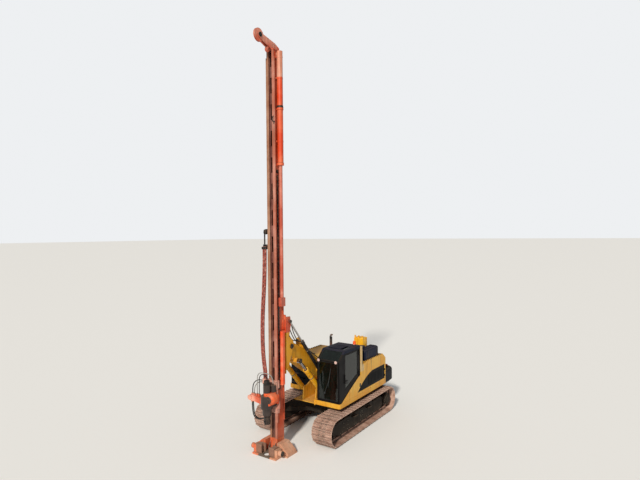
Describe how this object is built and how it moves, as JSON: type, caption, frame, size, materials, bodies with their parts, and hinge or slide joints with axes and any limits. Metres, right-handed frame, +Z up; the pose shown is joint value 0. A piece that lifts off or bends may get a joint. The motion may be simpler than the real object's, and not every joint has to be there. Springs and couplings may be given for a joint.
{
  "type": "excavator-mounted drilling rig",
  "caption": "Tracked excavator carrier with a cab, a short boom and an upright drilling mast that bears a rotary head on a sled, a feed cylinder, a sleeved hose bundle and a foot clamp.",
  "frame": {"origin": "on the ground, under the middle of the whole machine's box", "axes": "+Z up along the mast, -Y to the front where the mast stands, +X to the machine's left, the cab side"},
  "size_m": [3.39, 7.2, 13.975],
  "materials": {
    "yellow_enamel": "worn gloss enamel",
    "black_enamel": "satin black enamel",
    "orange_enamel": "weathered orange enamel",
    "faded_orange": "rubbed orange enamel over primer",
    "track_steel": "rusty, dusty track steel",
    "dark_steel": "greasy dark steel",
    "navy_enamel": "dark blue enamel",
    "black_hose": "rubber hydraulic hose",
    "chrome_rod": "hard chrome",
    "cab_glass": "tinted safety glass",
    "cab_trim": "grained black plastic",
    "seat_cloth": "woven seat cloth",
    "red_sleeve": "faded red woven hose sleeve",
    "lamp_lens": "clear lens",
    "amber_lens": "amber lens"
  },
  "bodies": {
    "undercarriage": {"car_body": "black_enamel", "slewing_ring": "dark_steel", "track_frames": "black_enamel", "track_rollers": "dark_steel", "idler_wheels": "dark_steel", "drive_sprockets": "dark_steel", "track_left": "track_steel", "track_right": "track_steel"},
    "house": {"turntable": "yellow_enamel", "side_decks": "yellow_enamel", "fuel_tank": "black_enamel", "valve_block": "dark_steel", "air_box": "navy_enamel", "upper_cabinet": "yellow_enamel", "exhaust": "dark_steel", "counterweight": "black_enamel", "cab_shell": "black_enamel", "cab_glass": "cab_glass", "operator_seat": "seat_cloth", "control_consoles": "cab_trim", "body_left": "yellow_enamel", "body_right": "yellow_enamel", "engine_block": "dark_steel", "work_lamps": "lamp_lens", "beacon": "amber_lens"},
    "cab_door": {"cab_door": "black_enamel", "cab_door_glass": "cab_glass"},
    "left_service_door": {"service_door_left": "black_enamel"},
    "right_service_door": {"service_door_right": "black_enamel"},
    "hood": {"engine_hood": "black_enamel"},
    "boom": {"boom": "yellow_enamel", "deck_hoses": "black_hose"},
    "boom_barrels": {"boom_cylinder_barrels": "yellow_enamel"},
    "boom_rods": {"boom_cylinder_rods": "chrome_rod"},
    "tilt_barrels": {"tilt_cylinder_barrels": "black_enamel"},
    "tilt_rods": {"tilt_cylinder_rods": "chrome_rod"},
    "cradle": {"mast_cradle": "yellow_enamel", "tilt_hoses": "black_hose"},
    "mast": {"hose_saddle": "dark_steel", "mast_hoses": "black_hose", "mast_column": "faded_orange", "mast_crown": "orange_enamel", "feed_cylinder": "orange_enamel", "feed_chain": "dark_steel", "chain_cover": "orange_enamel", "mast_foot": "orange_enamel"},
    "sheave": {"crown_sheave": "orange_enamel"},
    "feed_rod": {"feed_rod": "chrome_rod"},
    "sled": {"hose_sleeves": "red_sleeve", "supply_hoses": "black_hose", "head_hoses": "black_hose", "carriage": "faded_orange", "rotary_head": "orange_enamel", "hose_arm": "orange_enamel"},
    "spindle": {"drill_spindle": "dark_steel"},
    "jaw_left": {"clamp_jaw_left": "orange_enamel"},
    "jaw_right": {"clamp_jaw_right": "orange_enamel"}
  },
  "joints": [
    {"name": "slew", "type": "hinge", "parent": "undercarriage", "child": "house", "pos_m": [0, 0.6, 1.075], "axis": [0, 0, 1], "continuous": true},
    {"name": "cab_door", "type": "hinge", "parent": "house", "child": "cab_door", "pos_m": [1.494, 0.397, 2.1], "axis": [0, 0, 1], "range_deg": [0, 100]},
    {"name": "left_service_door", "type": "hinge", "parent": "house", "child": "left_service_door", "pos_m": [1.514, 2.497, 1.6], "axis": [0, 0, 1], "range_deg": [0, 100]},
    {"name": "right_service_door", "type": "hinge", "parent": "house", "child": "right_service_door", "pos_m": [-1.514, 2.497, 1.6], "axis": [0, 0, -1], "range_deg": [0, 100]},
    {"name": "hood", "type": "hinge", "parent": "house", "child": "hood", "pos_m": [0, 1.015, 2.445], "axis": [1, 0, 0], "range_deg": [0, 55]},
    {"name": "boom_lift", "type": "hinge", "parent": "house", "child": "boom", "pos_m": [0, 0.25, 1.75], "axis": [-1, 0, 0], "range_deg": [0, 22]},
    {"name": "boom_barrels", "type": "hinge", "parent": "house", "child": "boom_barrels", "pos_m": [0, -0.55, 1.47], "axis": [-1, 0, 0], "range_deg": [-0.97, 25.22]},
    {"name": "boom_rods", "type": "slide", "parent": "boom_barrels", "child": "boom_rods", "axis": [0, -0.681, 0.7322], "range_m": [-0.01255, 0.32623]},
    {"name": "mast_tilt", "type": "hinge", "parent": "boom", "child": "cradle", "pos_m": [0, -2.15, 3.45], "axis": [1, 0, 0], "range_deg": [-12, 22]},
    {"name": "tilt_barrels", "type": "hinge", "parent": "boom", "child": "tilt_barrels", "pos_m": [0, -0.52, 2.25], "axis": [1, 0, 0], "range_deg": [-3.8, 6.64]},
    {"name": "tilt_rods", "type": "slide", "parent": "tilt_barrels", "child": "tilt_rods", "axis": [0, -0.6459, 0.7634], "range_m": [-0.09443, 0.16512]},
    {"name": "mast_slide", "type": "slide", "parent": "cradle", "child": "mast", "axis": [0, 0, 1], "range_m": [0, 1]},
    {"name": "sheave_spin", "type": "hinge", "parent": "mast", "child": "sheave", "pos_m": [0, -3.385, 13.76], "axis": [1, 0, 0], "continuous": true},
    {"name": "feed", "type": "slide", "parent": "mast", "child": "sled", "axis": [0, 0, 1], "range_m": [0, 5.6]},
    {"name": "feed_rod", "type": "slide", "parent": "mast", "child": "feed_rod", "axis": [0, 0, 1], "range_m": [-0.05, 2.85]},
    {"name": "spindle_spin", "type": "hinge", "parent": "sled", "child": "spindle", "pos_m": [0, -3.15, 1.8], "axis": [0, 0, 1], "continuous": true},
    {"name": "jaw_left", "type": "slide", "parent": "mast", "child": "jaw_left", "axis": [-1, 0, 0], "range_m": [0, 0.06]},
    {"name": "jaw_right", "type": "slide", "parent": "mast", "child": "jaw_right", "axis": [1, 0, 0], "range_m": [-0.002, 0.062]}
  ],
  "couplings": [
    {"joint": "boom_barrels", "follows": "boom_lift", "ratio": 1.1023},
    {"joint": "boom_rods", "follows": "boom_lift", "m_per_rad": 0.81694},
    {"joint": "tilt_barrels", "follows": "mast_tilt", "ratio": 0.28443},
    {"joint": "tilt_rods", "follows": "mast_tilt", "m_per_rad": 0.40498},
    {"joint": "feed_rod", "follows": "feed", "ratio": 0.5},
    {"joint": "jaw_right", "follows": "jaw_left", "ratio": 1}
  ]
}
